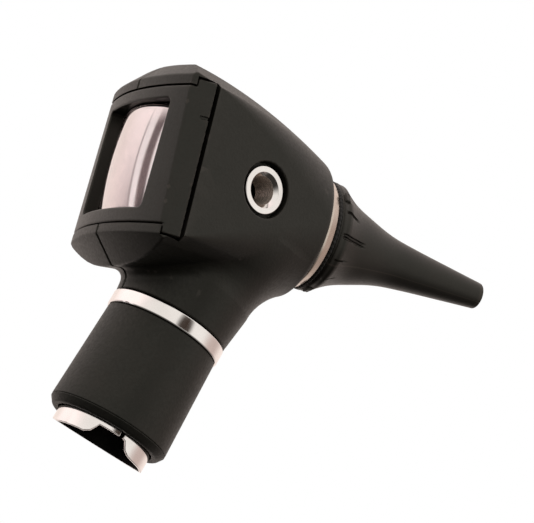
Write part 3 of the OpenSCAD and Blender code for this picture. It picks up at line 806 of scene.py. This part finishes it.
def speculum():
    """Conical ear speculum with notches round its base, and three lugs on its flange."""
    knots = np.array(SPECULUM_PROFILE)
    heights = np.linspace(knots[0, 0], knots[-1, 0], 70)
    outside = np.interp(heights, knots[:, 0], knots[:, 1])
    for _ in range(12):
        outside[1:-1] = outside[1:-1] / 2 + (outside[:-2] + outside[2:]) / 4
    tip = arc((knots[-1, 1] - 0.3, 45.9), 0.3, 0, 90, 4) + [(TIP_R + 0.2, 46.2), (TIP_R, 46.0), (TIP_R, 42)]
    socket_r, foot = 9.65, 2
    inside = [(3.75, 30), (4.2, 26), (4.75, 21.6), (5.55, 18), (6.8, 14), (8, 10), (9.4, 7), (socket_r, 5.6),
              (socket_r, foot)]
    flange = eased([inside[-1], (12.2, foot), (12.42, 2.4)], 0.1, 2)[3:]  # less the socket's own corner
    flange += [(12.42, z) for z in (2.6, 2.8, 3.0)] + [(12.3, z) for z in (3.4, 3.7, 4.0, 4.3)]
    outline = inside + flange + list(zip(outside, heights)) + tip

    def notched(radius, height, angle):
        """Every seventh notch is thick, and the one before it is a long pair of thin ones."""
        up = -np.degrees(angle)
        turn = up - FIRST_NOTCH
        which = np.round(turn / (360 / NOTCHES))
        across = np.abs(np.radians(turn - which * 360 / NOTCHES) * radius)
        kind = which % (NOTCHES / 2)
        paired, thick = kind == NOTCHES / 2 - 1, kind == 0
        length = np.where(paired, 10.3, np.where(thick, 7.2, 6.7))
        across = np.where(paired, np.abs(across - 0.34), across)
        half_w = np.where(thick, 0.34, np.where(paired, 0.2, 0.12))
        notch = np.clip((half_w + 0.07 - across) / 0.12, 0, 1)
        notch = notch * np.clip((length - height) / 0.6, 0, 1) * np.clip((height - 3.25) / 0.25, 0, 1)
        lug_turn = np.radians((up + LUG_AT + 60) % 120 - 60) * radius
        lug = np.clip((LUG_HALF_W - np.abs(lug_turn)) / 0.12, 0, 1)
        lug = lug * np.clip((4.1 - height) / 0.3, 0, 1) * np.clip((height - 2.5) / 0.2, 0, 1)
        outer = radius > np.interp(height, knots[:, 0], knots[:, 1]) - 0.8
        return radius + outer * (LUG_HEIGHT * lug - NOTCH_DEPTH * notch) * (height > 2.4)

    place(about_view("ear_speculum", outline, segments=NOTCHES * 48, shape=notched, crease=40),
          "speculum", SPECULUM_BLACK)


def port():
    """Insufflator port: a polished nipple with a countersunk mouth and a satin bore."""
    end, shoulder = -7.6, -2
    outline = eased([
        (PORT_R + 0.25, end), (PORT_TUBE_R, end), (PORT_TUBE_R, shoulder), (PORT_FLANGE_R, shoulder),
        (PORT_FLANGE_R, -PORT_SUNK), (PORT_R + 0.8, -PORT_SUNK),
        (PORT_R, -PORT_SUNK - PORT_COUNTERSINK), (PORT_R, -7.2),
    ], [0.05, 0.1, 0.05, 0.05, 0.22, 0.12, 0.15, 0.1], 4)
    foot = PORT + PORT_AXIS * PORT_FACE
    across = np.cross(PORT_AXIS, (0, 0, 1))
    ring = turned("port_ring", outline, foot, PORT_AXIS, across / np.linalg.norm(across))
    place(ring, "port_nipple", CHROME)
    ring.data.materials.append(REAMED)
    for face in ring.data.polygons:
        spoke = np.cross(np.array(face.center) / MM - PORT, PORT_AXIS)
        face.material_index = int(np.linalg.norm(spoke) < PORT_R + 0.1)


# ---------------------------------------------------------------- the base's pieces

def base():
    """Bayonet ring, foot ring, grip sleeve and the band above it."""
    low, high = size("bayonet_ring")
    ring = solid("socket_ring", ring_field, low - 0.6, high + 0.6, 0.15, 0.5)
    place(ring, "bayonet_ring", CHROME)
    # the faces that look into the ring wear the dark anodised finish: painted shade for the dark inside of the
    # ring
    ring.data.materials.append(ANODISED_AND_SHADE)
    for face in ring.data.polygons:
        outward = Vector((face.center.x, face.center.y, 0)).normalized()
        face.material_index = int(face.normal.dot(outward) < -0.6)

    foot = eased([
        (FOOT_INNER_R, FOOT_TOP), (FOOT_INNER_R, 0.15), (FOOT_R - 1.1, 0), (FOOT_R, FOOT_TOP - 0.15),
        (FOOT_R - 0.16, FOOT_TOP),
    ], [0, 0.2, 1.2, 0.3, 0], 8)
    place(about_handle("foot_ring", foot), "collar_foot", COLLAR_BLACK)
    ledge = 2.2
    sleeve = eased([
        (FOOT_INNER_R, FOOT_TOP), (FOOT_R, FOOT_TOP), (COLLAR_TOP_R, COLLAR_TOP), (CORE_R, COLLAR_TOP),
        (CORE_R, ledge), (FOOT_INNER_R, ledge),
    ], [0, 0.3, 0.35, 0, 0, 0], 5)
    place(about_handle("grip_sleeve", sleeve, segments=256), "collar", COLLAR_BLACK)
    hoop = eased([
        (CORE_R, BAND_LOW), (BAND_R - 0.1, BAND_LOW), (BAND_R, BAND_LOW + 0.3), (BAND_R, BAND_HIGH),
        (CORE_R, BAND_HIGH),
    ], [0, 0.2, 0.2, 0.22, 0], 4)
    place(about_handle("band_ring", hoop, segments=256), "chrome_band", CHROME)


# ---------------------------------------------------------------- CAD nodes that are shown as they are

KEPT = {
    "illuminator_tube": ANODISED_AND_SHADE, "lamp_socket": NYLON, "lamp_contact": BRASS, "lamp_can": STEEL,
    "lamp_bulb": GLASS, "lamp_spring": STEEL, "lamp_heat_sink": ANODISED_AND_SHADE, "condenser_lens": GLASS,
    "spigot_ring": STEEL, "index_pin": STEEL, "shell_screws": STEEL, "shell_dowels": STEEL,
    "neck_sleeve": STEEL, "light_ferrule": STEEL, "light_guide": FIBRE, "bulkhead": ANODISED_AND_SHADE,
    "nose_cone": STEEL, "fibre_cone": FIBRE, "view_tube": ANODISED_AND_SHADE, "speculum_retainer": STEEL,
    "port_gasket": RUBBER, "port_nut": STEEL, "window_gasket": RUBBER, "slide_pads": NYLON,
    "lens_retainer": ANODISED_AND_SHADE,
}


def inner_nodes():
    """The CAD's own meshes for the pieces inside, with their materials."""
    for node, material in KEPT.items():
        mesh = frame["nodes"][node].data
        mesh.materials.clear()
        mesh.materials.append(material)
        mesh.polygons.foreach_set("use_smooth", np.ones(len(mesh.polygons), bool))
        mesh.set_sharp_from_angle(angle=math.radians(32))


# ---------------------------------------------------------------- stage

CAMERA_AZIMUTH, CAMERA_ELEVATION, CAMERA_ROLL = -22.34, -16.62, 29.94
CAMERA_DISTANCE = 0.46652
CAMERA_AIM = Vector((0.00569, -0.01656, 0.04575))
CAMERA_LENS = 151.66
FLOOR_DROP = 0.7


def camera():
    """Long-lens camera beside the head and a little below it, rolled well over."""
    a, e = math.radians(CAMERA_AZIMUTH), math.radians(CAMERA_ELEVATION)
    back = Vector((math.sin(a) * math.cos(e), -math.cos(a) * math.cos(e), math.sin(e)))
    right = Vector((math.cos(a), math.sin(a), 0))
    level = Matrix((right, back.cross(right), back)).transposed()
    data = bpy.data.cameras.new("camera")
    data.lens, data.sensor_width = CAMERA_LENS, 36
    made = bpy.data.objects.new("camera", data)
    turn = level @ Matrix.Rotation(math.radians(CAMERA_ROLL), 3, "Z")
    made.matrix_world = Matrix.Translation(CAMERA_AIM + back * CAMERA_DISTANCE) @ turn.to_4x4()
    bpy.context.scene.collection.objects.link(made)
    bpy.context.scene.camera = made
    data.clip_start = 0.01


def floor():
    """A wide pale floor below the lowest pose, which sends no light back up."""
    reach = 12
    tree = Tree("pale_floor")
    tree.colour(tree.mixed(tree.noise(0.002, 2), (0.78, 0.77, 0.76), (0.82, 0.81, 0.8)))
    tree.plain(Roughness=0.9)
    square = ((-1, -1), (1, -1), (1, 1), (-1, 1))
    corners = [(x * reach / MM, y * reach / MM, -FLOOR_DROP / MM) for x, y in square]
    made = mesh_object("floor", corners, [(0, 1, 2, 3)])
    made.data.materials.append(tree.material)
    made.visible_diffuse = made.visible_glossy = False


def direction(azimuth, elevation):
    """Unit vector towards a part of the studio; angles in degrees."""
    a, e = math.radians(azimuth), math.radians(elevation)
    return (math.cos(a) * math.cos(e), math.sin(a) * math.cos(e), math.sin(e))


# colour, azimuth, elevation, degrees from there where it is full and where it has faded; later ones go over
LOBES = (
    ((1.0, 0.87, 0.85), 100, 30, 30, 110),
    ((0.60, 0.49, 0.45), 5, 5, 14, 46),
    ((0.035, 0.032, 0.028), 0, -90, 50, 98),
    ((1.0, 0.88, 0.82), 72, 14, 30, 68),
    ((1.3, 1.18, 1.14), 150, 40, 18, 50),
    ((0.05, 0.036, 0.028), -82, 14, 6, 19),
)
# colour, azimuth, half its width and its soft edge, lowest and highest elevation
STRIPS = (
    ((0.16, 0.13, 0.13), 155, 3, 3, -30, 5),
    ((1.1, 1.05, 1.03), 146, 2.5, 1.5, -30, 5),
    ((0.45, 0.40, 0.40), 141, 0.7, 0.7, -30, 5),
    ((1.1, 1.05, 1.03), 164, 3, 2, -30, 5),
)
STRIP_FADE = 6
TENT = (0.93, 0.91, 0.87)


def studio():
    """A white tent with soft dark gaps in it, which the camera sees as plain white."""
    world = bpy.data.worlds.new("studio")
    bpy.context.scene.world = world
    world.use_nodes = True
    nodes, links = world.node_tree.nodes, world.node_tree.links
    where = nodes.new("ShaderNodeTexCoord").outputs["Generated"]

    def ramp(value, start, stop):
        """0 at start and 1 at stop, with soft ends."""
        node = nodes.new("ShaderNodeMapRange")
        node.interpolation_type = "SMOOTHSTEP"
        links.new(value, node.inputs["Value"])
        node.inputs["From Min"].default_value, node.inputs["From Max"].default_value = start, stop
        return node.outputs["Result"]

    def math_node(operation, first, second):
        """One operation on two sockets."""
        node = nodes.new("ShaderNodeMath")
        node.operation = operation
        links.new(first, node.inputs[0])
        links.new(second, node.inputs[1])
        return node.outputs[0]

    def over(under, colour, factor):
        """A colour laid over a colour or a socket."""
        mix = nodes.new("ShaderNodeMix")
        mix.data_type = "RGBA"
        links.new(factor, mix.inputs["Factor"])
        if isinstance(under, tuple):
            mix.inputs["A"].default_value = (*under, 1)
        else:
            links.new(under, mix.inputs["A"])
        mix.inputs["B"].default_value = (*colour, 1)
        return mix.outputs["Result"]

    def lobe(azimuth, elevation, inner, outer):
        """1 within inner degrees of a direction, falling to 0 at outer degrees."""
        dot = nodes.new("ShaderNodeVectorMath")
        dot.operation = "DOT_PRODUCT"
        links.new(where, dot.inputs[0])
        dot.inputs[1].default_value = direction(azimuth, elevation)
        return ramp(dot.outputs["Value"], math.cos(math.radians(outer)), math.cos(math.radians(inner)))

    parts = nodes.new("ShaderNodeSeparateXYZ")
    links.new(where, parts.inputs[0])
    turn = math_node("ARCTAN2", parts.outputs["Y"], parts.outputs["X"])

    def strip(azimuth, width, soft, low, high):
        """1 in an upright strip between two elevations."""
        product = None
        for value, start, stop in (
            (turn, math.radians(azimuth - width - soft), math.radians(azimuth - width)),
            (turn, math.radians(azimuth + width + soft), math.radians(azimuth + width)),
            (parts.outputs["Z"], math.sin(math.radians(low - STRIP_FADE)), math.sin(math.radians(low))),
            (parts.outputs["Z"], math.sin(math.radians(high + STRIP_FADE)), math.sin(math.radians(high))),
        ):
            share = ramp(value, start, stop)
            product = share if product is None else math_node("MULTIPLY", product, share)
        return product

    light = TENT
    for colour, *place_and_size in LOBES:
        light = over(light, colour, lobe(*place_and_size))
    for colour, *place_and_size in STRIPS:
        light = over(light, colour, strip(*place_and_size))
    seen = nodes.new("ShaderNodeLightPath").outputs["Is Camera Ray"]
    links.new(over(light, (1.0, 1.0, 1.0), seen), nodes["Background"].inputs["Color"])


shells()
lens_slide()
nose()
speculum()
port()
base()
inner_nodes()
camera()
floor()
studio()
bpy.context.scene.view_settings.view_transform = "Standard"
